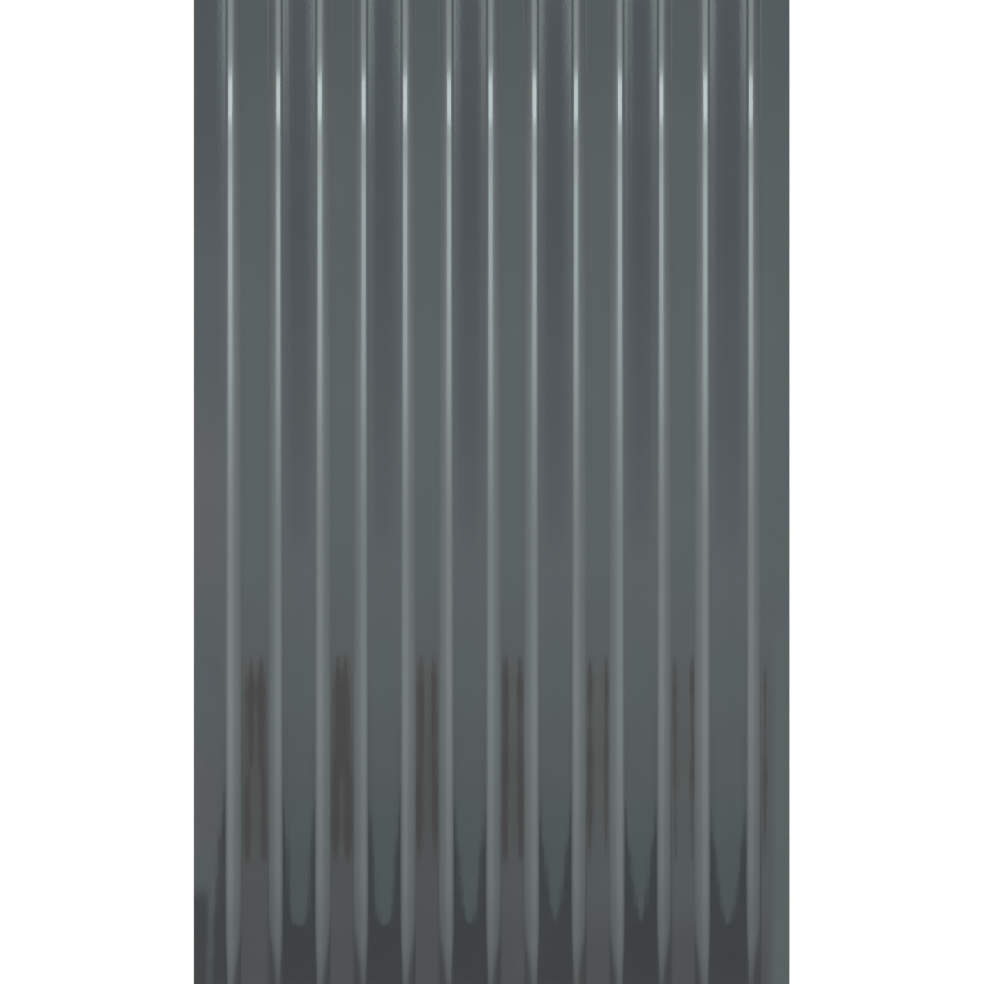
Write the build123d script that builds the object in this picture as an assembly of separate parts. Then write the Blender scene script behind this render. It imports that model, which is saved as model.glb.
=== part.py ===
from build123d import *
import math
import os

# Corrugated steel sheet for small roofs and walls, rolled in one piece.
# Lengths are in millimetres. X runs across the waves, Y along them, Z is up.
# The sheet lies on its valleys, centred over the origin, with the valleys' undersides at Z = 0.

# The sheet
SHEET_LENGTH = 600.0
SHEET_DEPTH = 5.0
STEEL_THICKNESS = 0.5

# The wave: widths are measured at half height, between the middles of two neighbouring webs
WAVE_COUNT = 5
CREST_WIDTH = 25.0
VALLEY_WIDTH = 27.0
WEB_ANGLE = 40.0
CREST_BEND_RADIUS = 8.5
VALLEY_BEND_RADIUS = 3.0

# The two sides: the first crest and the last valley are rolled wider than the rest
FIRST_CREST_WIDTH = 27.5
LAST_VALLEY_WIDTH = 29.5
UNDERLAP_WIDTH = 23.15
OVERLAP_WIDTH = 22.55

# What follows from the sizes above, taken along the middle of the steel's thickness
RISE = SHEET_DEPTH - STEEL_THICKNESS
HALF_WEB_RUN = RISE / math.tan(math.radians(WEB_ANGLE)) / 2
LOW = STEEL_THICKNESS / 2
HIGH = LOW + RISE


def web_middles() -> list[float]:
    """Lists where each web crosses half height, from the underlap's edge at 0."""
    widths = [UNDERLAP_WIDTH, FIRST_CREST_WIDTH]
    widths += [VALLEY_WIDTH, CREST_WIDTH] * WAVE_COUNT
    widths += [LAST_VALLEY_WIDTH]
    middles = []
    reached = 0.0
    for width in widths:
        reached += width
        middles.append(reached)
    return middles


def web_corners(middle: float, rising: bool) -> list[tuple[float, float]]:
    """Gives a web's two sharp corners, before its bends are rounded."""
    if rising:
        return [(middle - HALF_WEB_RUN, LOW), (middle + HALF_WEB_RUN, HIGH)]
    return [(middle - HALF_WEB_RUN, HIGH), (middle + HALF_WEB_RUN, LOW)]


def corner_radii(rising: bool) -> list[float]:
    """Gives the bend radii that belong to a web's two corners."""
    if rising:
        return [VALLEY_BEND_RADIUS, CREST_BEND_RADIUS]
    return [CREST_BEND_RADIUS, VALLEY_BEND_RADIUS]


middles = web_middles()
sheet_width = middles[-1] + OVERLAP_WIDTH

# The section's middle line: the underlap's flat, the webs in turn, then the overlap's flat
corners = [(0.0, LOW)]
radii = []
for number, middle in enumerate(middles):
    rising = number % 2 == 0
    corners += web_corners(middle, rising)
    radii += corner_radii(rising)
corners.append((sheet_width, HIGH))

shift = sheet_width / 2
points = [(x - shift, z) for x, z in corners]

# The middle line gets the steel's thickness, half to each side, and is drawn out along the waves
with BuildPart() as sheet:
    with BuildSketch(Plane.XZ):
        with BuildLine():
            FilletPolyline(*points, radius=radii)
        trace(line_width=STEEL_THICKNESS)
    extrude(amount=SHEET_LENGTH / 2, both=True)

os.makedirs("parts", exist_ok=True)
export_step(sheet.part, "parts/corrugated_sheet.step")
box = sheet.part.bounding_box()
print("sheet", box.size.X, box.size.Y, box.size.Z, "volume", sheet.part.volume)
print("from", box.min, "to", box.max, "valid", sheet.part.is_valid)
print("solids", len(sheet.part.solids()), "faces", len(sheet.part.faces()))
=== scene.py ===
import logging
import math
from collections.abc import Callable
from dataclasses import dataclass, field
from enum import Enum

import bpy
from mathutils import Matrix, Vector


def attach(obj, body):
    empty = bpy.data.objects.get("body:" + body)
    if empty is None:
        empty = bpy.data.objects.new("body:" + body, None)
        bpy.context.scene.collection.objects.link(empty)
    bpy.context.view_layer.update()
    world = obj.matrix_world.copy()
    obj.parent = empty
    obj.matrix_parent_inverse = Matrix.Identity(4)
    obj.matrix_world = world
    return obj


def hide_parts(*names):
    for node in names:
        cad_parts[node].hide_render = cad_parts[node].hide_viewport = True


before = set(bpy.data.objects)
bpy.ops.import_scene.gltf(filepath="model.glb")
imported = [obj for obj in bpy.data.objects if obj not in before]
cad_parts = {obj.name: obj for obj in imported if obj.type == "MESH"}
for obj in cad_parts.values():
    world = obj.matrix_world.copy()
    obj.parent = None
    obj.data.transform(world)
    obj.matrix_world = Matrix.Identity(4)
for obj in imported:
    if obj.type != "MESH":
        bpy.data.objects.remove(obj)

logging.basicConfig(level=logging.INFO, format="%(message)s")
log = logging.getLogger("corrugated_sheet")
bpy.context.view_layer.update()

Colour = tuple[float, float, float, float]
Span = tuple[float, float]
Curve = tuple[tuple[float, float], ...]
Tree = bpy.types.NodeTree
Node = bpy.types.Node
Socket = bpy.types.NodeSocket

WHITE: Colour = (1.0, 1.0, 1.0, 1.0)
QUARTER_TURN = math.radians(90.0)

# Node settings that are used often, named for what they do
ADD = {"operation": "ADD"}
SUBTRACT = {"operation": "SUBTRACT"}
MULTIPLY = {"operation": "MULTIPLY"}
DIVIDE = {"operation": "DIVIDE"}
SIZE_ONLY = {"operation": "ABSOLUTE"}
LARGER = {"operation": "MAXIMUM"}
SMOOTH = {"interpolation_type": "SMOOTHSTEP"}
COLOURS = {"data_type": "RGBA"}
NUMBERS = {"data_type": "FLOAT"}


# Helpers

def linear(hex_colour: str) -> Colour:
    """Turns an sRGB hex colour into the linear colour that shaders use.

    Args:
        hex_colour: Six hex digits after a hash, such as "#3f4849".

    Returns:
        Red, green, blue and alpha, linear.
    """
    parts = [int(hex_colour[i:i + 2], 16) / 255 for i in (1, 3, 5)]
    r, g, b = (c / 12.92 if c <= 0.04045 else ((c + 0.055) / 1.055) ** 2.4 for c in parts)
    return (r, g, b, 1.0)


def add_node(tree: Tree, kind: str, settings: dict | None = None, inputs: dict | list | None = None) -> Node:
    """Adds a shader node, sets its properties, and sets or links its inputs.

    Args:
        tree: The node tree of a material or the world.
        kind: The node's type without the word ShaderNode, such as "Math".
        settings: Properties of the node by name.
        inputs: Inputs by name, or a list in the order in which the node shows them. A socket is linked,
            a node is linked by its first output in use, and anything else is set.

    Returns:
        The new node.
    """
    node = tree.nodes.new("ShaderNode" + kind)
    for name, value in (settings or {}).items():
        setattr(node, name, value)
    if isinstance(inputs, list):
        pairs = list(zip([socket for socket in node.inputs if socket.enabled], inputs))
    else:
        pairs = [(node.inputs[name], value) for name, value in (inputs or {}).items()]
    for socket, value in pairs:
        if isinstance(value, bpy.types.Node):
            value = next(output for output in value.outputs if output.enabled)
        if isinstance(value, bpy.types.NodeSocket):
            tree.links.new(value, socket)
        else:
            socket.default_value = value
    return node


def new_material(name: str) -> tuple[bpy.types.Material, Tree]:
    """Makes an empty node material.

    Args:
        name: The material's name.

    Returns:
        The material and its node tree.
    """
    material = bpy.data.materials.new(name)
    material.use_nodes = True
    material.node_tree.nodes.clear()
    return material, material.node_tree


def settle(piece: bpy.types.Object) -> None:
    """Writes an object's place, turn and scale into its mesh, so that the object sits at the origin.

    Args:
        piece: The object, which becomes the only selected one.
    """
    bpy.ops.object.select_all(action="DESELECT")
    piece.select_set(True)
    bpy.context.view_layer.objects.active = piece
    bpy.ops.object.transform_apply(location=True, rotation=True, scale=True)


# The sheet's form

class Fold(Enum):
    """Where a fold lies on the wave."""

    CREST = "crest"
    VALLEY = "valley"


@dataclass(frozen=True)
class Wave:
    """The rolled wave's sizes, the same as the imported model's, in metres along the steel's middle."""

    length: float = 0.600
    depth: float = 0.0050
    steel: float = 0.0005
    waves: int = 5
    crest: float = 0.0250
    valley: float = 0.0270
    first_crest: float = 0.0275
    last_valley: float = 0.0295
    underlap: float = 0.02315
    overlap: float = 0.02255
    web_angle: float = math.radians(40.0)
    crest_radius: float = 0.0085
    valley_radius: float = 0.0030

    @property
    def rise(self) -> float:
        """How far the crests stand above the valleys."""
        return self.depth - self.steel

    @property
    def pitch(self) -> float:
        """The distance from wave to wave."""
        return self.crest + self.valley

    @property
    def widths(self) -> list[float]:
        """The widths between web middles, from the underlap's edge to the last web."""
        return [self.underlap, self.first_crest] + [self.valley, self.crest] * self.waves + [self.last_valley]

    @property
    def width(self) -> float:
        """The whole sheet's width."""
        return sum(self.widths) + self.overlap

    def web_middles(self) -> list[float]:
        """Lists where the webs cross half height.

        Returns:
            The places across the sheet from left to right, with the sheet's middle at 0.
        """
        at = -self.width / 2
        middles = []
        for step in self.widths:
            at += step
            middles.append(at)
        return middles

    def fold_offset(self, fold: Fold) -> float:
        """Gives how far a bend reaches from its sharp corner.

        Args:
            fold: Where the bend lies on the wave.

        Returns:
            The reach along either side of the corner, in metres.
        """
        radius = self.crest_radius if fold is Fold.CREST else self.valley_radius
        return radius * math.tan(self.web_angle / 2)

    def corners(self) -> list[tuple[float, float, Fold]]:
        """Lists the wave's sharp corners before its bends are rounded.

        Returns:
            Each corner's place across the sheet, its height and its kind.
        """
        half_run = self.rise / math.tan(self.web_angle) / 2
        low = self.steel / 2
        high = low + self.rise
        found = []
        for number, middle in enumerate(self.web_middles()):
            pair = [(low, Fold.VALLEY), (high, Fold.CREST)]
            if number % 2:
                pair.reverse()
            for side, (height, fold) in zip((-1, 1), pair):
                found.append((middle + side * half_run, height, fold))
        return found


# The finishes

@dataclass(frozen=True)
class PolyesterTopcoat:
    """The weather side: a gloss polyester paint, roller-coated on the coil before it was rolled to waves.

    The eye sees a dark grey with a clear gloss that mirrors the room, faint lines along the sheet from the
    coating roller, a slight orange peel, a little dust, and small chips along the cut edges.
    """

    paint: str = "#434545"
    paint_deep: str = "#3e4141"
    dust: str = "#77756f"
    bare_zinc: str = "#9a9c9b"
    roller_spacing: float = 0.0035
    roller_length: float = 0.625
    peel_spacing: float = 0.0024
    peel_height: float = 0.000012
    peel_share: float = 0.5
    cloud_width: float = 0.0714
    dust_clouds: Span = (0.45, 0.8)
    dust_cover: Span = (0.0, 0.05)
    grain_spacing: float = 0.00303
    grain_rim: Span = (0.10, 0.02)
    grain_cover: Span = (0.0, 0.12)
    roughness_clouds: Span = (0.3, 0.75)
    roughness: Span = (0.31, 0.40)
    chip_spacing: float = 0.00238
    chip_noise: Span = (0.58, 0.8)
    chip_reach: Span = (0.0, 0.0004)

    def material(self, wave: Wave) -> bpy.types.Material:
        """Makes the paint's material.

        Args:
            wave: The sheet's sizes, for the chips along its cut edges.

        Returns:
            The finished material.
        """
        material, tree = new_material("polyester_topcoat")
        place = add_node(tree, "TexCoord").outputs["Object"]
        # Roller lines run along the coil: fine across the sheet and long along it
        scale = (1 / self.roller_spacing, 1 / self.roller_length, 1 / self.roller_spacing)
        rolled = add_node(tree, "Mapping", None, {"Vector": place, "Scale": scale})
        lines = add_node(tree, "TexNoise", None,
                         {"Vector": rolled, "Scale": 1.0, "Detail": 3.0, "Roughness": 0.6})
        # Clouds a hand wide, where dust has settled more and been wiped less
        clouds = add_node(tree, "TexNoise", None,
                          {"Vector": place, "Scale": 1 / self.cloud_width, "Detail": 5.0, "Roughness": 0.62})
        # Orange peel of the stoved paint, about two millimetres from bump to bump
        peel = add_node(tree, "TexNoise", None,
                        {"Vector": place, "Scale": 1 / self.peel_spacing, "Detail": 1.0, "Roughness": 0.4})
        tint = add_node(tree, "Mix", COLOURS, [lines, linear(self.paint_deep), linear(self.paint)])
        dusty = add_node(tree, "Mix", COLOURS, [self._dust(tree, place, clouds), tint, linear(self.dust)])
        chips = self._chips(tree, place, wave)
        colour = add_node(tree, "Mix", COLOURS, [chips, dusty, linear(self.bare_zinc)])
        roughness = add_node(tree, "MapRange", None, [clouds, *self.roughness_clouds, *self.roughness])
        height = add_node(tree, "Math", {"operation": "MULTIPLY_ADD"}, [peel, self.peel_share, lines])
        bump = add_node(tree, "Bump", None,
                        {"Strength": 0.25, "Distance": self.peel_height, "Height": height})
        shader = add_node(tree, "BsdfPrincipled", None, {
            "Base Color": colour,
            "Roughness": roughness,
            "Specular IOR Level": 0.1,
            "Coat Weight": 1.0,
            "Coat Roughness": 0.02,
            "Coat IOR": 1.55,
            "Normal": bump,
            "Coat Normal": bump,
        })
        add_node(tree, "OutputMaterial", None, {"Surface": shader})
        return material

    def _dust(self, tree: Tree, place: Socket, clouds: Node) -> Node:
        """Lays thin dust in clouds, with single grains drawn at 0.6 mm so that they show.

        Args:
            tree: The material's node tree.
            place: The Object coordinates.
            clouds: The noise that dust gathers by.

        Returns:
            How much the dust covers, from 0 to 1.
        """
        grains = add_node(tree, "TexVoronoi", {"feature": "F1"},
                          {"Vector": place, "Scale": 1 / self.grain_spacing})
        film = add_node(tree, "MapRange", SMOOTH, [clouds, *self.dust_clouds, *self.dust_cover])
        specks = add_node(tree, "MapRange", SMOOTH, [grains, *self.grain_rim, *self.grain_cover])
        return add_node(tree, "Math", ADD, [film, specks])

    def _chips(self, tree: Tree, place: Socket, wave: Wave) -> Node:
        """Draws small chips in the paint where the sheet was cut, along its four edges.

        Args:
            tree: The material's node tree.
            place: The Object coordinates.
            wave: The sheet's sizes.

        Returns:
            Where the zinc is bare, as 0 or 1.
        """
        axes = add_node(tree, "SeparateXYZ", None, [place])
        inside = []
        for axis, half in (("X", wave.width / 2), ("Y", wave.length / 2)):
            away = add_node(tree, "Math", SIZE_ONLY, [axes.outputs[axis]])
            inside.append(add_node(tree, "Math", SUBTRACT, [half, away]))
        from_edge = add_node(tree, "Math", {"operation": "MINIMUM"}, inside)
        noise = add_node(tree, "TexNoise", None,
                         {"Vector": place, "Scale": 1 / self.chip_spacing, "Detail": 3.0, "Roughness": 0.7})
        reach = add_node(tree, "MapRange", None, [noise, *self.chip_noise, *self.chip_reach])
        return add_node(tree, "Math", {"operation": "LESS_THAN"}, [from_edge, reach])


@dataclass(frozen=True)
class BackingLacquer:
    """The reverse side: a thin grey epoxy lacquer on the same coil.

    The eye sees a paler, matt grey that lets the steel's rolling lines show a little.
    """

    lacquer: str = "#7d8282"
    lacquer_thin: str = "#717677"
    line_spacing: float = 0.0012
    line_length: float = 0.2
    line_height: float = 0.00002
    cloud_width: float = 0.0455
    film_noise: Span = (0.12, 0.4)
    roughness_clouds: Span = (0.3, 0.7)
    roughness: Span = (0.42, 0.56)

    def material(self) -> bpy.types.Material:
        """Makes the lacquer's material.

        Returns:
            The finished material.
        """
        material, tree = new_material("backing_lacquer")
        place = add_node(tree, "TexCoord").outputs["Object"]
        scale = (1 / self.line_spacing, 1 / self.line_length, 1 / self.line_spacing)
        rolled = add_node(tree, "Mapping", None, {"Vector": place, "Scale": scale})
        lines = add_node(tree, "TexNoise", None,
                         {"Vector": rolled, "Scale": 1.0, "Detail": 4.0, "Roughness": 0.65})
        clouds = add_node(tree, "TexNoise", None,
                          {"Vector": place, "Scale": 1 / self.cloud_width, "Detail": 4.0, "Roughness": 0.6})
        film = add_node(tree, "Math", MULTIPLY, [lines, clouds])
        spread = add_node(tree, "MapRange", None, [film, *self.film_noise])
        colour = add_node(tree, "Mix", COLOURS, [spread, linear(self.lacquer_thin), linear(self.lacquer)])
        roughness = add_node(tree, "MapRange", None, [clouds, *self.roughness_clouds, *self.roughness])
        bump = add_node(tree, "Bump", None, {"Strength": 0.3, "Distance": self.line_height, "Height": lines})
        shader = add_node(tree, "BsdfPrincipled", None, {
            "Base Color": colour,
            "Roughness": roughness,
            "IOR": 1.5,
            "Normal": bump,
        })
        add_node(tree, "OutputMaterial", None, {"Surface": shader})
        return material


@dataclass(frozen=True)
class ShearedEdge:
    """The cut edges: zinc-coated steel that was sheared.

    The eye sees a thin metal line, bright where zinc was dragged over it and duller where the steel broke.
    """

    zinc: str = "#8f9394"
    steel: str = "#6c6a67"
    tear_spacing: float = 0.0006
    tear_height: float = 0.00003
    patch_width: float = 0.00625
    zinc_noise: Span = (0.15, 0.4)
    roughness_tears: Span = (0.3, 0.7)
    roughness: Span = (0.35, 0.6)

    def material(self) -> bpy.types.Material:
        """Makes the cut edge's material.

        Returns:
            The finished material.
        """
        material, tree = new_material("sheared_zinc_steel")
        place = add_node(tree, "TexCoord").outputs["Object"]
        tears = add_node(tree, "TexNoise", None,
                         {"Vector": place, "Scale": 1 / self.tear_spacing, "Detail": 3.0, "Roughness": 0.7})
        patches = add_node(tree, "TexNoise", None,
                           {"Vector": place, "Scale": 1 / self.patch_width, "Detail": 2.0})
        share = add_node(tree, "Math", MULTIPLY, [tears, patches])
        spread = add_node(tree, "MapRange", None, [share, *self.zinc_noise])
        colour = add_node(tree, "Mix", COLOURS, [spread, linear(self.steel), linear(self.zinc)])
        roughness = add_node(tree, "MapRange", None, [tears, *self.roughness_tears, *self.roughness])
        bump = add_node(tree, "Bump", None, {"Strength": 0.4, "Distance": self.tear_height, "Height": tears})
        shader = add_node(tree, "BsdfPrincipled", None, {
            "Base Color": colour,
            "Metallic": 0.9,
            "Roughness": roughness,
            "Normal": bump,
        })
        add_node(tree, "OutputMaterial", None, {"Surface": shader})
        return material


class Face(Enum):
    """The sheet's material slots, in order."""

    TOP = 0
    BACK = 1
    EDGE = 2


# The sheet

@dataclass
class CoatedSheet:
    """The corrugated sheet itself: one strip of steel, folded, rounded and given its thickness."""

    wave: Wave = field(default_factory=Wave)
    topcoat: PolyesterTopcoat = field(default_factory=PolyesterTopcoat)
    lacquer: BackingLacquer = field(default_factory=BackingLacquer)
    edge: ShearedEdge = field(default_factory=ShearedEdge)
    bend_segments: int = 14
    length_cuts: int = 11
    edge_break: float = 0.00006
    smooth_up_to: float = math.radians(20.0)
    same_place: float = 1e-6

    def build(self) -> bpy.types.Object:
        """Models and dresses the sheet.

        Returns:
            The finished piece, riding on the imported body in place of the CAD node.
        """
        piece = self._first_flat()
        self._fold_strip(piece)
        self._round_bends(piece)
        self._face_up(piece)
        self._thicken(piece)
        self._break_edges(piece)
        self._smooth(piece)
        self._dress(piece)
        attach(piece, "root")
        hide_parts("corrugated_sheet")
        return piece

    def _stations(self) -> list[tuple[float, float]]:
        """Lists where the strip is folded, from one free edge to the other.

        Returns:
            The free edge, each sharp corner and the other free edge, by place across the sheet and height.
        """
        half = self.wave.width / 2
        corners = [(x, z) for x, z, _ in self.wave.corners()]
        return [(-half, corners[0][1])] + corners + [(half, corners[-1][1])]

    def _first_flat(self) -> bpy.types.Object:
        """Adds the underlap's flat, as long as the sheet and cut across evenly.

        Returns:
            The piece, in edit mode.
        """
        (start, height), (end, _) = self._stations()[:2]
        bpy.ops.object.select_all(action="DESELECT")
        bpy.ops.mesh.primitive_plane_add(size=1.0, location=((start + end) / 2, 0.0, height))
        piece = bpy.context.object
        piece.name = "rolled_sheet"
        piece.data.name = "rolled_sheet"
        piece.scale = (end - start, self.wave.length, 1.0)
        settle(piece)
        bpy.ops.object.mode_set(mode="EDIT")
        bpy.ops.mesh.select_mode(type="EDGE")
        self._select_edges(piece, lambda a, b: abs(a.x - b.x) < self.same_place)
        bpy.ops.mesh.subdivide(number_cuts=self.length_cuts)
        return piece

    def _select_edges(self, piece: bpy.types.Object, wanted: Callable[[Vector, Vector], bool]) -> None:
        """Selects the edges whose two ends pass a test, and no others.

        Args:
            piece: The object, in edit mode before and after.
            wanted: A test of an edge's two end points.
        """
        bpy.ops.mesh.select_all(action="DESELECT")
        bpy.ops.object.mode_set(mode="OBJECT")
        points = piece.data.vertices
        for edge in piece.data.edges:
            first, second = (points[index].co for index in edge.vertices)
            edge.select = wanted(first, second)
        bpy.ops.object.mode_set(mode="EDIT")

    def _fold_strip(self, piece: bpy.types.Object) -> None:
        """Draws the strip's free edge out from corner to corner until the whole wave stands.

        Args:
            piece: The underlap's flat, in edit mode before and after.
        """
        stations = self._stations()
        flat_end = stations[1][0]
        self._select_edges(piece, lambda a, b: min(a.x, b.x) > flat_end - self.same_place)
        for (x0, z0), (x1, z1) in zip(stations[1:], stations[2:]):
            bpy.ops.mesh.extrude_edges_move(TRANSFORM_OT_translate={"value": (x1 - x0, 0.0, z1 - z0)})

    def _round_bends(self, piece: bpy.types.Object) -> None:
        """Bevels the sharp corners to round bends, first the crests' and then the valleys'.

        Args:
            piece: The folded strip, in edit mode before and in object mode after.
        """
        corners = self.wave.corners()
        for fold in Fold:
            places = [x for x, _, kind in corners if kind is fold]
            self._select_edges(piece, lambda a, b: abs(a.x - b.x) < self.same_place and
                               any(abs(a.x - x) < self.same_place for x in places))
            bpy.ops.mesh.bevel(offset_type="OFFSET", offset=self.wave.fold_offset(fold),
                               segments=self.bend_segments, profile=0.5, affect="EDGES")
        bpy.ops.mesh.select_all(action="SELECT")
        bpy.ops.mesh.remove_doubles(threshold=self.same_place)
        bpy.ops.mesh.normals_make_consistent(inside=False)
        bpy.ops.object.mode_set(mode="OBJECT")

    def _face_up(self, piece: bpy.types.Object) -> None:
        """Turns the open strip's faces over where they look down, so that the top gets the topcoat.

        Args:
            piece: The rounded strip, in object mode.
        """
        if sum(face.normal.z for face in piece.data.polygons) < 0:
            bpy.ops.object.mode_set(mode="EDIT")
            bpy.ops.mesh.select_all(action="SELECT")
            bpy.ops.mesh.flip_normals()
            bpy.ops.object.mode_set(mode="OBJECT")

    def _thicken(self, piece: bpy.types.Object) -> None:
        """Gives the strip the steel's thickness, half to each side, with a material slot for each finish.

        Args:
            piece: The rounded strip, in object mode.
        """
        for _ in Face:
            piece.data.materials.append(None)
        steel = piece.modifiers.new("steel", "SOLIDIFY")
        steel.thickness = self.wave.steel
        steel.offset = 0.0
        steel.use_even_offset = True
        steel.use_rim = True
        steel.material_offset = Face.BACK.value
        steel.material_offset_rim = Face.EDGE.value
        bpy.ops.object.modifier_apply(modifier=steel.name)

    def _break_edges(self, piece: bpy.types.Object) -> None:
        """Takes the sharpness off the cut edges all round, as the shear leaves them.

        Args:
            piece: The solid sheet, in object mode.
        """
        cut: set[tuple[int, int]] = set()
        coated: set[tuple[int, int]] = set()
        for face in piece.data.polygons:
            keys = cut if face.material_index == Face.EDGE.value else coated
            keys.update(face.edge_keys)
        rims = cut & coated
        bpy.ops.object.mode_set(mode="EDIT")
        bpy.ops.mesh.select_mode(type="EDGE")
        bpy.ops.mesh.select_all(action="DESELECT")
        bpy.ops.object.mode_set(mode="OBJECT")
        for edge in piece.data.edges:
            edge.select = edge.key in rims
        bpy.ops.object.mode_set(mode="EDIT")
        bpy.ops.mesh.bevel(offset_type="OFFSET", offset=self.edge_break, segments=1, affect="EDGES",
                           material=Face.EDGE.value)
        bpy.ops.object.mode_set(mode="OBJECT")

    def _smooth(self, piece: bpy.types.Object) -> None:
        """Shades the bends round and lets the wide faces set the shading, so that flats mirror as flats.

        Args:
            piece: The solid sheet, in object mode.
        """
        bpy.ops.object.shade_smooth_by_angle(angle=self.smooth_up_to)
        weighted = piece.modifiers.new("weighted", "WEIGHTED_NORMAL")
        weighted.mode = "FACE_AREA"
        weighted.weight = 50
        weighted.keep_sharp = True
        bpy.ops.object.modifier_apply(modifier=weighted.name)

    def _dress(self, piece: bpy.types.Object) -> None:
        """Puts each finish on its faces.

        Args:
            piece: The smoothed sheet.
        """
        finishes = {
            Face.TOP: self.topcoat.material(self.wave),
            Face.BACK: self.lacquer.material(),
            Face.EDGE: self.edge.material(),
        }
        for face, material in finishes.items():
            piece.data.materials[face.value] = material


# The studio. The flats mirror the ceiling card and the bends mirror the light tent, which only gloss sees.

CAMERA_HEIGHT = 6.0
ROOM_IN_GLOSS = 0.65
# How bright the ceiling card shines where white is drawn on it
PAPER_LIGHT = 4.0
# How far the drawn tones reach to both sides of the sheet's middle, which is a little past its ends
RAMP_REACH = 0.31


def on_paper(red: float, green: float, blue: float) -> Colour:
    """Gives the colour to draw on a card so that it shines as bright as is meant, where 1 is white.

    Args:
        red: How bright the card is in red.
        green: How bright it is in green.
        blue: How bright it is in blue.

    Returns:
        A colour that the card's own light brings to these values, so that they may pass white.
    """
    return (red / PAPER_LIGHT, green / PAPER_LIGHT, blue / PAPER_LIGHT, 1.0)


@dataclass(frozen=True)
class Tone:
    """How bright and of what tint a studio card is at one place along the sheet."""

    along: float
    red: float
    green: float
    blue: float


def colour_along(tree: Tree, along: Node, stops: list[tuple[float, Colour]]) -> Node:
    """Draws colours along the sheet's length.

    Args:
        tree: The node tree.
        along: The place along the sheet, in metres.
        stops: The places in rising order, each with its colour.

    Returns:
        The colour.
    """
    share = add_node(tree, "MapRange", None, [along, -RAMP_REACH, RAMP_REACH])
    node = add_node(tree, "ValToRGB", None, [share])
    ramp = node.color_ramp
    ramp.interpolation = "EASE"
    ramp.elements.remove(ramp.elements[-1])
    places = [(at + RAMP_REACH) / (2 * RAMP_REACH) for at, _ in stops]
    colours = [colour for _, colour in stops]
    ramp.elements[0].position, ramp.elements[0].color = places[0], colours[0]
    for place, colour in zip(places[1:], colours[1:]):
        ramp.elements.new(place).color = colour
    return node


def tone_along(tree: Tree, along: Node, tones: tuple[Tone, ...]) -> Node:
    """Draws a card's tones along the sheet's length.

    Args:
        tree: The node tree.
        along: The place along the sheet, in metres.
        tones: The tones, from the lower end up.

    Returns:
        The colour on the card.
    """
    return colour_along(tree, along, [(t.along, on_paper(t.red, t.green, t.blue)) for t in tones])


def number_along(tree: Tree, along: Node, curve: Curve) -> Node:
    """Draws a number along the sheet's length.

    Args:
        tree: The node tree.
        along: The place along the sheet, in metres.
        curve: The places in rising order, each with the number there.

    Returns:
        The number.
    """
    low = min(value for _, value in curve)
    high = max(value for _, value in curve)
    shares = [(at, ((value - low) / (high - low),) * 3 + (1.0,)) for at, value in curve]
    return add_node(tree, "MapRange", None, [colour_along(tree, along, shares), 0.0, 1.0, low, high])


def gap_between(tree: Tree, first: Node | Socket, second: Node | float) -> Node:
    """Measures between two places on one axis, and gives the same whichever is the larger."""
    step = add_node(tree, "Math", SUBTRACT, [first, second])
    return add_node(tree, "Math", SIZE_ONLY, [step])


def show_to_gloss_only(card: bpy.types.Object) -> None:
    """Keeps a studio card out of sight and its light and shadow off the object, all but its mirror image.

    Args:
        card: The card.
    """
    card.visible_camera = False
    card.visible_diffuse = False
    card.visible_transmission = False
    card.visible_volume_scatter = False
    card.visible_shadow = False


@dataclass(frozen=True)
class OverheadCamera:
    """Looks straight down with a long lens, the sheet's two ends at the picture's top and bottom."""

    wave: Wave = field(default_factory=Wave)
    height: float = CAMERA_HEIGHT
    view_width: float = 0.599
    centre_x: float = 0.0003
    sensor_width: float = 36.0
    sees_up_to: float = 50.0

    def build(self) -> None:
        """Adds the camera at its height over half the sheet's depth, and makes it the scene's."""
        camera = bpy.data.cameras.new("camera")
        camera.sensor_fit = "HORIZONTAL"
        camera.sensor_width = self.sensor_width
        camera.lens = self.sensor_width * self.height / self.view_width
        camera.clip_end = self.sees_up_to
        holder = bpy.data.objects.new("camera", camera)
        bpy.context.scene.collection.objects.link(holder)
        holder.location = (self.centre_x, 0.0, self.wave.depth / 2 + self.height)
        bpy.context.scene.camera = holder


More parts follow.
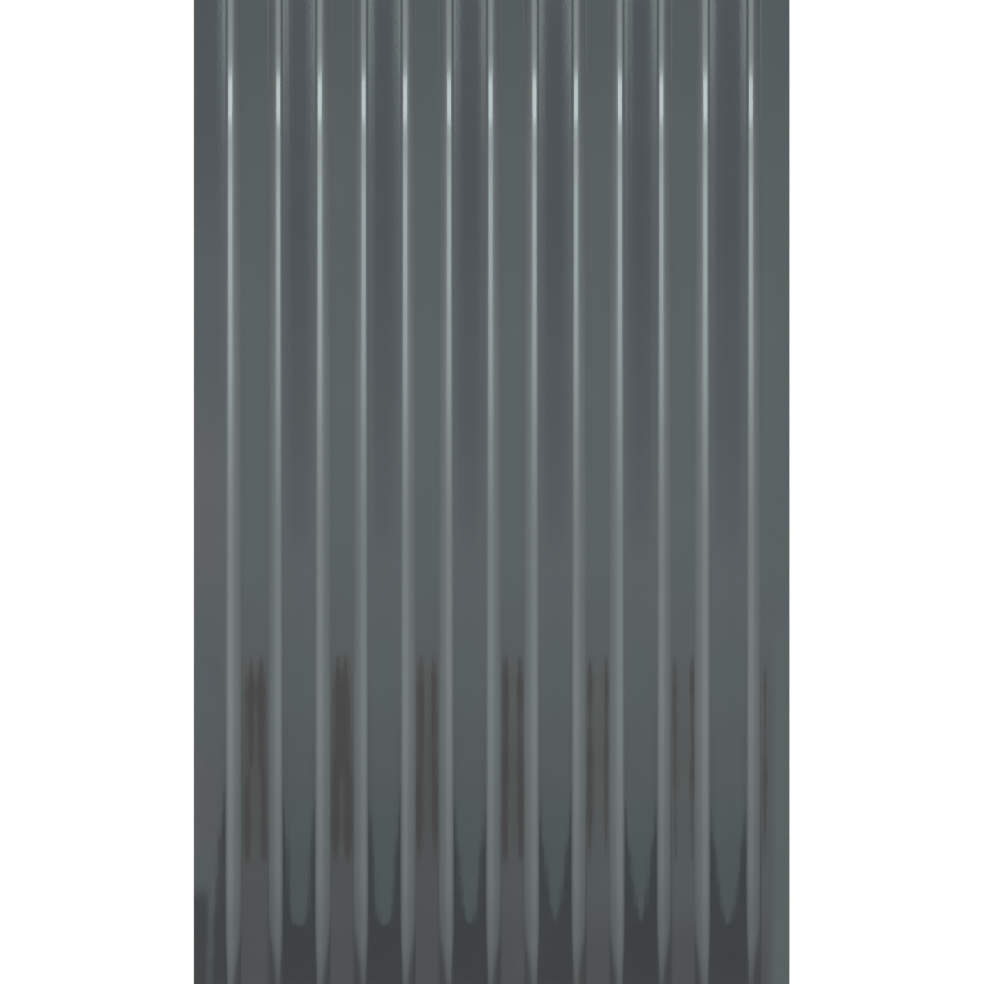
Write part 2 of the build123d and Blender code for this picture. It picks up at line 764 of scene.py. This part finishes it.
@dataclass(frozen=True)
class Room:
    """The room's plain light and the pale floor, both white to the camera."""

    light: float = 0.85
    floor_size: float = 8.0
    floor_height: float = -0.0002
    floor_colour: str = "#e6e6e4"
    floor_lift: float = 0.5

    def build(self) -> None:
        """Sets the world's light and lays the floor."""
        self._light_world()
        bpy.ops.object.select_all(action="DESELECT")
        bpy.ops.mesh.primitive_plane_add(size=self.floor_size, location=(0.0, 0.0, self.floor_height))
        floor = bpy.context.object
        floor.name = "studio_floor"
        settle(floor)
        floor.data.materials.append(self._floor_paint())

    def _light_world(self) -> None:
        """Lights the world evenly, a little less bright in gloss and white where it is seen itself."""
        world = bpy.data.worlds.new("room")
        world.use_nodes = True
        tree = world.node_tree
        tree.nodes.clear()
        rays = add_node(tree, "LightPath")
        plain = add_node(tree, "MapRange", None,
                         [rays.outputs["Is Glossy Ray"], 0.0, 1.0, self.light, ROOM_IN_GLOSS])
        seen = add_node(tree, "Math", LARGER,
                        [rays.outputs["Is Camera Ray"], rays.outputs["Is Transmission Ray"]])
        strength = add_node(tree, "Math", LARGER, [plain, seen])
        light = add_node(tree, "Background", None, {"Color": WHITE, "Strength": strength})
        add_node(tree, "OutputWorld", None, {"Surface": light})
        bpy.context.scene.world = world

    def _floor_paint(self) -> bpy.types.Material:
        """Makes the floor's pale paint, which is lifted to white where it is seen and keeps the shadow.

        Returns:
            The finished material.
        """
        material, tree = new_material("pale_floor")
        rays = add_node(tree, "LightPath")
        seen = add_node(tree, "Math", LARGER, [rays.outputs["Is Camera Ray"], rays.outputs["Is Glossy Ray"]])
        seen = add_node(tree, "Math", LARGER, [seen, rays.outputs["Is Transmission Ray"]])
        lift = add_node(tree, "Math", MULTIPLY, [seen, self.floor_lift])
        paint = add_node(tree, "BsdfDiffuse", None, {"Color": linear(self.floor_colour)})
        glow = add_node(tree, "Emission", None, {"Color": WHITE, "Strength": lift})
        both = add_node(tree, "AddShader", None, [paint, glow])
        add_node(tree, "OutputMaterial", None, {"Surface": both})
        return material


@dataclass(frozen=True)
class SideLamps:
    """A long soft lamp low on each side, which lights the webs and leaves the valleys a little darker."""

    distance: float = 2.0
    height: float = 0.352
    tall: float = 0.2
    length: float = 6.0
    strength: float = 11.0

    def build(self) -> None:
        """Adds both lamps, which light the object, while its gloss mirrors the tent in their place."""
        for name, side in (("side_lamp_left", -1), ("side_lamp_right", 1)):
            bpy.ops.object.select_all(action="DESELECT")
            bpy.ops.mesh.primitive_plane_add(size=1.0, location=(side * self.distance, 0.0, self.height),
                                             rotation=(0.0, QUARTER_TURN, 0.0))
            lamp = bpy.context.object
            lamp.name = name
            lamp.scale = (self.tall, self.length, 1.0)
            settle(lamp)
            material, tree = new_material(name)
            glow = add_node(tree, "Emission", None, {"Color": WHITE, "Strength": self.strength})
            add_node(tree, "OutputMaterial", None, {"Surface": glow})
            lamp.data.materials.append(material)
            lamp.visible_camera = False
            lamp.visible_glossy = False


@dataclass(frozen=True)
class LightTent:
    """An arched white cloth over the sheet, with a lit strip low on each side, for the gloss to mirror.

    A place on the cloth is told by its lean, in degrees from straight overhead, and by the place along the
    sheet, in metres, that mirrors it. Brightness 1 is white.
    """

    radius: float = 2.0
    length: float = 5.0
    facets: int = 128
    tint: Colour = (0.89, 1.04, 1.07, 1.0)

    # The cloth grows brighter from overhead to the floor
    cloth_lean: Span = (5.0, 85.0)
    cloth_light: Span = (1.30, 2.49)
    cloth_level: Curve = (
        (-0.300, 0.32), (-0.270, 0.59), (-0.228, 0.80), (-0.120, 1.0), (0.060, 1.0), (0.180, 0.80),
        (0.300, 0.50))

    # Past the sheet's lower end it is dark overhead first, and lower down only further out
    dark_lean: Span = (0.0, 90.0)
    dark_past: Span = (-0.258, -0.312)
    dark_edge: Span = (-0.014, 0.014)

    # Far from the sheet it is plain, for the other views
    plain_from: Span = (0.34, 0.60)
    lamp_until: Span = (0.345, 0.33)

    # The lit strip, which flares over the upper end, and the glow that it throws on the cloth above it
    strip_low: Span = (75.4, 76.6)
    strip_high: Span = (84.0, 82.8)
    strip_light: Curve = (
        (-0.030, 0.0), (0.000, 0.15), (0.026, 0.35), (0.062, 0.8), (0.099, 1.5), (0.135, 2.4), (0.172, 2.9),
        (0.212, 2.1), (0.220, 2.9), (0.231, 6.4), (0.2465, 6.4), (0.260, 1.8), (0.268, 1.1), (0.300, 0.9))
    glow_lean: Span = (46.0, 70.0)
    glow_light: Curve = ((-0.020, 0.0), (0.020, 0.35), (0.080, 0.85), (0.300, 1.0))

    # Webs further from the cloth see the strip lower down and further out, and its length allows for that
    strip_lean: Span = (77.3, 82.1)
    strip_spread: Span = (1.360, 1.306)

    def build(self) -> None:
        """Bends the cloth over the sheet and gives it its light."""
        bpy.ops.object.select_all(action="DESELECT")
        bpy.ops.mesh.primitive_cylinder_add(vertices=self.facets, radius=self.radius, depth=self.length,
                                            end_fill_type="NOTHING", rotation=(QUARTER_TURN, 0.0, 0.0))
        tent = bpy.context.object
        tent.name = "light_tent"
        settle(tent)
        bpy.ops.object.mode_set(mode="EDIT")
        bpy.ops.mesh.select_all(action="SELECT")
        bpy.ops.mesh.bisect(plane_co=(0.0, 0.0, 0.0), plane_no=(0.0, 0.0, 1.0), clear_inner=True)
        bpy.ops.object.mode_set(mode="OBJECT")
        tent.data.materials.append(self._cloth())
        show_to_gloss_only(tent)

    def _cloth(self) -> bpy.types.Material:
        """Makes the lit cloth with the strips on it.

        Returns:
            The finished material.
        """
        material, tree = new_material("tent_cloth")
        place = add_node(tree, "TexCoord").outputs["Object"]
        axes = add_node(tree, "SeparateXYZ", None, [place])
        aside = add_node(tree, "Math", SIZE_ONLY, [axes.outputs["X"]])
        turn = add_node(tree, "Math", {"operation": "ARCTAN2"}, [aside, axes.outputs["Z"]])
        lean = add_node(tree, "Math", MULTIPLY, [turn, math.degrees(1.0)])
        along = add_node(tree, "Math", DIVIDE, [axes.outputs["Y"], 1 + self.radius / CAMERA_HEIGHT])
        from_middle = add_node(tree, "Math", SIZE_ONLY, [along])
        far = add_node(tree, "MapRange", SMOOTH, [from_middle, *self.plain_from])
        near = add_node(tree, "MapRange", SMOOTH, [from_middle, *self.lamp_until])

        cloth = add_node(tree, "Mix", NUMBERS, [far, self._cloth_light(tree, lean, along), ROOM_IN_GLOSS])
        strip = self._strip_light(tree, axes.outputs["Y"], lean)
        lower_down = add_node(tree, "MapRange", SMOOTH, [lean, *self.glow_lean])
        glow = add_node(tree, "Math", MULTIPLY, [lower_down, number_along(tree, along, self.glow_light)])
        lamp = add_node(tree, "Math", ADD, [strip, glow])
        lamp = add_node(tree, "Math", MULTIPLY, [lamp, near])
        colour = add_node(tree, "Mix", COLOURS, [far, self.tint, WHITE])
        strength = add_node(tree, "Math", ADD, [cloth, lamp])
        light = add_node(tree, "Emission", None, {"Color": colour, "Strength": strength})
        add_node(tree, "OutputMaterial", None, {"Surface": light})
        return material

    def _cloth_light(self, tree: Tree, lean: Node, along: Node) -> Node:
        """Lights the cloth itself: brighter towards the floor, and dark past the sheet's lower end.

        Args:
            tree: The cloth's node tree.
            lean: The lean from straight overhead, in degrees.
            along: The mirrored place along the sheet, in metres.

        Returns:
            The brightness.
        """
        rise = add_node(tree, "MapRange", None, [lean, *self.cloth_lean, *self.cloth_light])
        light = add_node(tree, "Math", MULTIPLY, [rise, number_along(tree, along, self.cloth_level)])
        dark_past = add_node(tree, "MapRange", None, [lean, *self.dark_lean, *self.dark_past])
        inside = add_node(tree, "Math", SUBTRACT, [along, dark_past])
        lit = add_node(tree, "MapRange", SMOOTH, [inside, *self.dark_edge])
        return add_node(tree, "Math", MULTIPLY, [light, lit])

    def _strip_light(self, tree: Tree, place_y: Socket, lean: Node) -> Node:
        """Lights the strip between its two leans.

        Args:
            tree: The cloth's node tree.
            place_y: The place along the tent, in metres.
            lean: The lean from straight overhead, in degrees.

        Returns:
            The brightness.
        """
        above = add_node(tree, "MapRange", SMOOTH, [lean, *self.strip_low])
        below = add_node(tree, "MapRange", SMOOTH, [lean, *self.strip_high])
        inside = add_node(tree, "Math", MULTIPLY, [above, below])
        spread = add_node(tree, "MapRange", None, [lean, *self.strip_lean, *self.strip_spread])
        along = add_node(tree, "Math", DIVIDE, [place_y, spread])
        return add_node(tree, "Math", MULTIPLY, [inside, number_along(tree, along, self.strip_light)])


@dataclass(frozen=True)
class MirroredPlace:
    """The place on the sheet that mirrors a point of the ceiling card, as nodes that give metres."""

    on_card: Socket
    across: Node
    along: Node
    from_valley: Node


@dataclass(frozen=True)
class BrownStreaks:
    """Two brown streaks on the card over each crest near the lower end, and one over the edge crest.

    Sizes are in metres on the sheet. Places along it run from the lower end, below 0, to the upper end.
    """

    colour: Colour = on_paper(0.144, 0.016, 0.0)
    cover: float = 0.95
    edge: Span = (0.0007, -0.0007)

    # Where the streaks begin and end, and where they are at their full breadth
    upper_end: Span = (-0.096, -0.104)
    lower_end: Span = (-0.229, -0.220)
    upper_taper: Span = (-0.097, -0.125)
    lower_taper: Span = (-0.230, -0.195)
    tapered: Span = (0.3, 1.0)

    # They stand close and broad over the left crests, and thin and apart over the right ones
    apart_across: Span = (-0.16, 0.13)
    apart: Span = (0.0035, 0.0067)
    breadth_across: Span = (-0.18, 0.18)
    breadth: Span = (0.0027, 0.0013)

    # Lower down all of them stand this far from their crest's middle
    spread_below: Span = (-0.162, -0.182)
    spread_apart: float = 0.0061

    # The second crest's pair is broader and stands closer, so that it runs together
    joined_reach: Span = (0.012, 0.008)
    joined_nearer: float = 0.0016
    joined_nearer_below: float = 0.0014
    joined_broader: float = 0.0011

    # The edge crest's single streak
    single_from: Span = (0.154, 0.156)
    single_at: float = 0.1648

    # Their outline swells and wavers every few centimetres
    swell_spacing: float = 0.0588
    swell_noise: Span = (0.35, 0.65)
    swell: Span = (0.65, 1.35)
    waver_spacing: float = 0.0385
    waver_noise: Span = (0.3, 0.7)
    waver: Span = (-0.0006, 0.0006)

    def cover_share(self, tree: Tree, wave: Wave, place: MirroredPlace) -> Node:
        """Draws the streaks.

        Args:
            tree: The card's node tree.
            wave: The sheet's sizes.
            place: The mirrored place on the sheet.

        Returns:
            How much of the card the streaks' brown covers, from 0 to 1.
        """
        webs = wave.web_middles()
        joined_crest = (webs[2] + webs[3]) / 2
        from_joined = gap_between(tree, place.across, joined_crest)
        joined = add_node(tree, "MapRange", SMOOTH, [from_joined, *self.joined_reach])
        aside = self._aside(tree, wave, place, joined)
        breadth = self._breadth(tree, place, joined)
        past_rim = add_node(tree, "Math", SUBTRACT, [aside, breadth])
        inside = add_node(tree, "MapRange", SMOOTH, [past_rim, *self.edge])
        begun = add_node(tree, "MapRange", SMOOTH, [place.along, *self.upper_end])
        ended = add_node(tree, "MapRange", SMOOTH, [place.along, *self.lower_end])
        drawn = add_node(tree, "Math", MULTIPLY, [begun, ended])
        drawn = add_node(tree, "Math", MULTIPLY, [drawn, self.cover])
        return add_node(tree, "Math", MULTIPLY, [inside, drawn])

    def _aside(self, tree: Tree, wave: Wave, place: MirroredPlace, joined: Node) -> Node:
        """Measures how far a place is from the middle of the nearest streak.

        Args:
            tree: The card's node tree.
            wave: The sheet's sizes.
            place: The mirrored place on the sheet.
            joined: 1 over the crest whose pair runs together, and 0 over the others.

        Returns:
            The distance in metres.
        """
        apart = add_node(tree, "MapRange", None, [place.across, *self.apart_across, *self.apart])
        nearer = add_node(tree, "Math", MULTIPLY, [joined, self.joined_nearer])
        apart = add_node(tree, "Math", SUBTRACT, [apart, nearer])
        nearer_below = add_node(tree, "Math", MULTIPLY, [joined, self.joined_nearer_below])
        apart_below = add_node(tree, "Math", SUBTRACT, [self.spread_apart, nearer_below])
        below = add_node(tree, "MapRange", SMOOTH, [place.along, *self.spread_below])
        apart = add_node(tree, "Mix", NUMBERS, [below, apart, apart_below])
        from_crest = add_node(tree, "Math", SUBTRACT, [wave.pitch / 2, place.from_valley])
        from_pair = gap_between(tree, from_crest, apart)
        from_single = gap_between(tree, place.across, self.single_at)
        single = add_node(tree, "MapRange", SMOOTH, [place.across, *self.single_from])
        aside = add_node(tree, "Mix", NUMBERS, [single, from_pair, from_single])
        noise = add_node(tree, "TexNoise", None,
                         {"Vector": place.on_card, "Scale": 1 / self.waver_spacing, "Detail": 2.0})
        waver = add_node(tree, "MapRange", None, [noise, *self.waver_noise, *self.waver])
        return add_node(tree, "Math", ADD, [aside, waver])

    def _breadth(self, tree: Tree, place: MirroredPlace, joined: Node) -> Node:
        """Gives how broad the streaks are, which taper towards their two ends.

        Args:
            tree: The card's node tree.
            place: The mirrored place on the sheet.
            joined: 1 over the crest whose pair runs together, and 0 over the others.

        Returns:
            Half a streak's breadth in metres.
        """
        breadth = add_node(tree, "MapRange", None, [place.across, *self.breadth_across, *self.breadth])
        broader = add_node(tree, "Math", MULTIPLY, [joined, self.joined_broader])
        breadth = add_node(tree, "Math", ADD, [breadth, broader])
        upper = add_node(tree, "MapRange", SMOOTH, [place.along, *self.upper_taper])
        lower = add_node(tree, "MapRange", SMOOTH, [place.along, *self.lower_taper])
        full = add_node(tree, "Math", MULTIPLY, [upper, lower])
        taper = add_node(tree, "MapRange", None, [full, 0.0, 1.0, *self.tapered])
        breadth = add_node(tree, "Math", MULTIPLY, [breadth, taper])
        noise = add_node(tree, "TexNoise", None,
                         {"Vector": place.on_card, "Scale": 1 / self.swell_spacing, "Detail": 3.0})
        swell = add_node(tree, "MapRange", None, [noise, *self.swell_noise, *self.swell])
        return add_node(tree, "Math", MULTIPLY, [breadth, swell])


@dataclass(frozen=True)
class CeilingCard:
    """A card above the sheet with a tone of its own over each crest and each valley, which the flats mirror.

    Places are in metres on the sheet that mirrors it. The height and the half sizes are the card's own.
    """

    wave: Wave = field(default_factory=Wave)
    streaks: BrownStreaks = field(default_factory=BrownStreaks)
    height: float = 1.0
    half_width: float = 0.230
    half_length: float = 0.370

    # Over the crests
    crest_tones: tuple[Tone, ...] = (
        Tone(-0.300, 0.50, 0.53, 0.63), Tone(-0.225, 0.54, 0.57, 0.59), Tone(-0.165, 0.54, 0.54, 0.48),
        Tone(-0.118, 0.74, 0.78, 0.71), Tone(-0.085, 0.90, 1.09, 1.15), Tone(-0.040, 0.92, 1.23, 1.25),
        Tone(0.060, 0.95, 1.27, 1.29), Tone(0.180, 0.90, 1.17, 1.19), Tone(0.300, 0.70, 0.95, 0.98))
    edge_crest_tone: Colour = on_paper(0.96, 1.268, 1.288)
    edge_crest_from: Span = (0.1655, 0.1735)
    lift_across: Span = (-0.02, 0.08)
    lift: Span = (0.0, 0.45)
    lift_above: Span = (-0.280, -0.240)
    lift_below: Span = (-0.060, -0.110)
    crest_from_valley: Span = (0.0115, 0.0165)

    # Over the valleys: along their middles, and beside their webs
    valley_tones: tuple[Tone, ...] = (
        Tone(-0.270, 0.60, 0.89, 0.91), Tone(-0.225, 0.64, 0.91, 0.95), Tone(-0.203, 0.70, 0.99, 0.98),
        Tone(-0.163, 0.94, 1.09, 1.23), Tone(-0.115, 1.00, 1.29, 1.30), Tone(-0.054, 1.17, 1.36, 1.51),
        Tone(-0.005, 0.94, 1.11, 1.27), Tone(0.056, 0.78, 0.94, 1.08), Tone(0.178, 0.55, 0.73, 0.91),
        Tone(0.300, 0.57, 0.75, 0.89))
    flank_tones: tuple[Tone, ...] = (
        Tone(-0.275, 0.50, 0.79, 0.81), Tone(-0.205, 0.60, 0.89, 0.90), Tone(-0.165, 0.80, 0.97, 1.07),
        Tone(-0.115, 1.05, 1.27, 1.30), Tone(-0.060, 1.17, 1.39, 1.51), Tone(0.000, 1.22, 1.46, 1.57),
        Tone(0.068, 1.14, 1.37, 1.49), Tone(0.141, 1.18, 1.41, 1.53), Tone(0.200, 1.28, 1.51, 1.63),
        Tone(0.242, 1.75, 2.09, 2.21), Tone(0.270, 2.40, 2.84, 2.95), Tone(0.295, 2.75, 3.24, 3.35))
    flank_from_middle: Span = (0.0040, 0.0092)
    last_valley_from: Span = (-0.0028, -0.0018)

    # Over the underlap
    underlap_middle: float = -0.1717
    underlap_tones: tuple[Tone, ...] = (
        Tone(-0.300, 0.80, 0.99, 1.12), Tone(-0.250, 0.76, 0.99, 1.12), Tone(-0.190, 0.91, 0.98, 1.05),
        Tone(-0.127, 0.92, 1.12, 1.25), Tone(0.000, 1.22, 1.31, 1.41), Tone(0.120, 0.88, 1.11, 1.25),
        Tone(0.240, 0.58, 0.77, 0.91), Tone(0.300, 0.52, 0.71, 0.85))
    underlap_until: Span = (-0.0015, -0.0035)

    # Near the lower end the valleys' light stops, and is left as a tongue with this half width
    shade: Colour = on_paper(0.0, 0.048, 0.088)
    tongue_left: Curve = (
        (-0.266, -0.0020), (-0.262, 0.0040), (-0.249, 0.0058), (-0.227, 0.0064), (-0.2025, 0.0080),
        (-0.186, 0.0100), (-0.165, 0.0140))
    tongue_right: Curve = (
        (-0.266, -0.0020), (-0.259, 0.0010), (-0.249, 0.0032), (-0.227, 0.0054), (-0.2025, 0.0085),
        (-0.186, 0.0100), (-0.165, 0.0140))
    tongue_underlap: Curve = (
        (-0.300, 0.0004), (-0.267, 0.0015), (-0.249, 0.0032), (-0.224, 0.0046), (-0.188, 0.0080),
        (-0.160, 0.0140))
    tongue_across: Span = (-0.09, 0.04)
    tongue_edge: Span = (0.0008, -0.0008)
    underlap_shade_until: Span = (-0.1742, -0.1716)
    underlap_shade_below: Span = (-0.252, -0.234)

    def build(self) -> None:
        """Hangs the card over the sheet."""
        bpy.ops.object.select_all(action="DESELECT")
        bpy.ops.mesh.primitive_plane_add(size=2.0, location=(0.0, 0.0, self.height))
        card = bpy.context.object
        card.name = "ceiling_card"
        card.scale = (self.half_width, self.half_length, 1.0)
        settle(card)
        card.data.materials.append(self._paper())
        show_to_gloss_only(card)

    def _paper(self) -> bpy.types.Material:
        """Makes the card's toned paper.

        Returns:
            The finished material.
        """
        material, tree = new_material("toned_paper")
        place = self._mirrored_place(tree)
        webs = self.wave.web_middles()
        in_crest = add_node(tree, "MapRange", SMOOTH, [place.from_valley, *self.crest_from_valley])
        in_underlap = add_node(tree, "MapRange", SMOOTH,
                               [place.across, *(webs[0] + offset for offset in self.underlap_until)])
        crest, valley = self._crest_paper(tree, place), self._valley_paper(tree, place)
        paper = add_node(tree, "Mix", COLOURS, [in_crest, valley, crest])
        paper = add_node(tree, "Mix", COLOURS, [in_underlap, paper, self._underlap_paper(tree, place)])
        light = add_node(tree, "Emission", None, {"Color": paper, "Strength": PAPER_LIGHT})
        add_node(tree, "OutputMaterial", None, {"Surface": light})
        return material

    def _mirrored_place(self, tree: Tree) -> MirroredPlace:
        """Works out the place on the sheet that mirrors each point of the card.

        Args:
            tree: The card's node tree.

        Returns:
            The place, with the distance from the nearest valley's middle.
        """
        webs = self.wave.web_middles()
        on_card = add_node(tree, "TexCoord").outputs["Object"]
        axes = add_node(tree, "SeparateXYZ", None, [on_card])
        spread = 1 + self.height / CAMERA_HEIGHT
        across = add_node(tree, "Math", DIVIDE, [axes.outputs["X"], spread])
        along = add_node(tree, "Math", DIVIDE, [axes.outputs["Y"], spread])
        from_first = add_node(tree, "Math", SUBTRACT, [across, (webs[1] + webs[2]) / 2])
        from_valley = add_node(tree, "Math", {"operation": "PINGPONG"}, [from_first, self.wave.pitch / 2])
        # The last valley is wider than the rest, and its tones keep their distance from its two webs
        wider_by = (self.wave.last_valley - self.wave.valley) / 2
        from_last = gap_between(tree, across, webs[-2] + self.wave.last_valley / 2)
        from_last = add_node(tree, "Math", SUBTRACT, [from_last, wider_by])
        in_last = add_node(tree, "MapRange", SMOOTH,
                           [across, *(webs[-2] + offset for offset in self.last_valley_from)])
        from_valley = add_node(tree, "Mix", NUMBERS, [in_last, from_valley, from_last])
        return MirroredPlace(on_card, across, along, from_valley)

    def _crest_paper(self, tree: Tree, place: MirroredPlace) -> Node:
        """Tones the card over the crests, with the brown streaks near the lower end.

        At the lower end the crests grow lighter towards the right, and the edge crest keeps its upper tone.

        Args:
            tree: The card's node tree.
            place: The mirrored place on the sheet.

        Returns:
            The colour over the crests.
        """
        lift = add_node(tree, "MapRange", None, [place.across, *self.lift_across, *self.lift])
        above = add_node(tree, "MapRange", SMOOTH, [place.along, *self.lift_above])
        lift = add_node(tree, "Math", MULTIPLY, [lift, above])
        on_edge_crest = add_node(tree, "MapRange", SMOOTH, [place.across, *self.edge_crest_from])
        lift = add_node(tree, "Math", LARGER, [lift, on_edge_crest])
        below = add_node(tree, "MapRange", SMOOTH, [place.along, *self.lift_below])
        lift = add_node(tree, "Math", MULTIPLY, [lift, below])
        tone = tone_along(tree, place.along, self.crest_tones)
        tone = add_node(tree, "Mix", COLOURS, [lift, tone, self.edge_crest_tone])
        share = self.streaks.cover_share(tree, self.wave, place)
        return add_node(tree, "Mix", COLOURS, [share, tone, self.streaks.colour])

    def _valley_paper(self, tree: Tree, place: MirroredPlace) -> Node:
        """Tones the card over the valleys: lighter beside the webs, and left as a tongue near the lower end.

        Args:
            tree: The card's node tree.
            place: The mirrored place on the sheet.

        Returns:
            The colour over the valleys.
        """
        flank = add_node(tree, "MapRange", SMOOTH, [place.from_valley, *self.flank_from_middle])
        middle_tone = tone_along(tree, place.along, self.valley_tones)
        flank_tone = tone_along(tree, place.along, self.flank_tones)
        tone = add_node(tree, "Mix", COLOURS, [flank, middle_tone, flank_tone])
        to_right = add_node(tree, "MapRange", None, [place.across, *self.tongue_across])
        left_reach = number_along(tree, place.along, self.tongue_left)
        right_reach = number_along(tree, place.along, self.tongue_right)
        reach = add_node(tree, "Mix", NUMBERS, [to_right, left_reach, right_reach])
        past_rim = add_node(tree, "Math", SUBTRACT, [place.from_valley, reach])
        tongue = add_node(tree, "MapRange", SMOOTH, [past_rim, *self.tongue_edge])
        return add_node(tree, "Mix", COLOURS, [tongue, self.shade, tone])

    def _underlap_paper(self, tree: Tree, place: MirroredPlace) -> Node:
        """Tones the card over the underlap: a flank beside the web, and a tongue that runs on as a thin line.

        Args:
            tree: The card's node tree.
            place: The mirrored place on the sheet.

        Returns:
            The colour over the underlap.
        """
        from_middle = add_node(tree, "Math", SUBTRACT, [place.across, self.underlap_middle])
        beside = add_node(tree, "Math", LARGER, [from_middle, 0.0])
        flank = add_node(tree, "MapRange", SMOOTH, [beside, *self.flank_from_middle])
        middle_tone = tone_along(tree, place.along, self.underlap_tones)
        flank_tone = tone_along(tree, place.along, self.flank_tones)
        tone = add_node(tree, "Mix", COLOURS, [flank, middle_tone, flank_tone])
        reach = number_along(tree, place.along, self.tongue_underlap)
        past_rim = add_node(tree, "Math", SUBTRACT, [beside, reach])
        right = add_node(tree, "MapRange", SMOOTH, [past_rim, *self.tongue_edge])
        in_tongue = add_node(tree, "MapRange", SMOOTH, [place.across, *self.underlap_shade_until])
        above = add_node(tree, "MapRange", SMOOTH, [place.along, *self.underlap_shade_below])
        left = add_node(tree, "Math", LARGER, [in_tongue, above])
        tongue = add_node(tree, "Math", MULTIPLY, [right, left])
        return add_node(tree, "Mix", COLOURS, [tongue, self.shade, tone])


def main() -> None:
    """Sets up the studio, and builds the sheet."""
    bpy.context.scene.view_settings.view_transform = "Standard"
    wave = Wave()
    for part in (OverheadCamera(wave), Room(), SideLamps(), LightTent(), CeilingCard(wave)):
        part.build()
        log.info("%s is set up", type(part).__name__)
    sheet = CoatedSheet(wave).build()
    log.info("%s: %d faces", sheet.name, len(sheet.data.polygons))


if __name__ == "__main__":
    main()
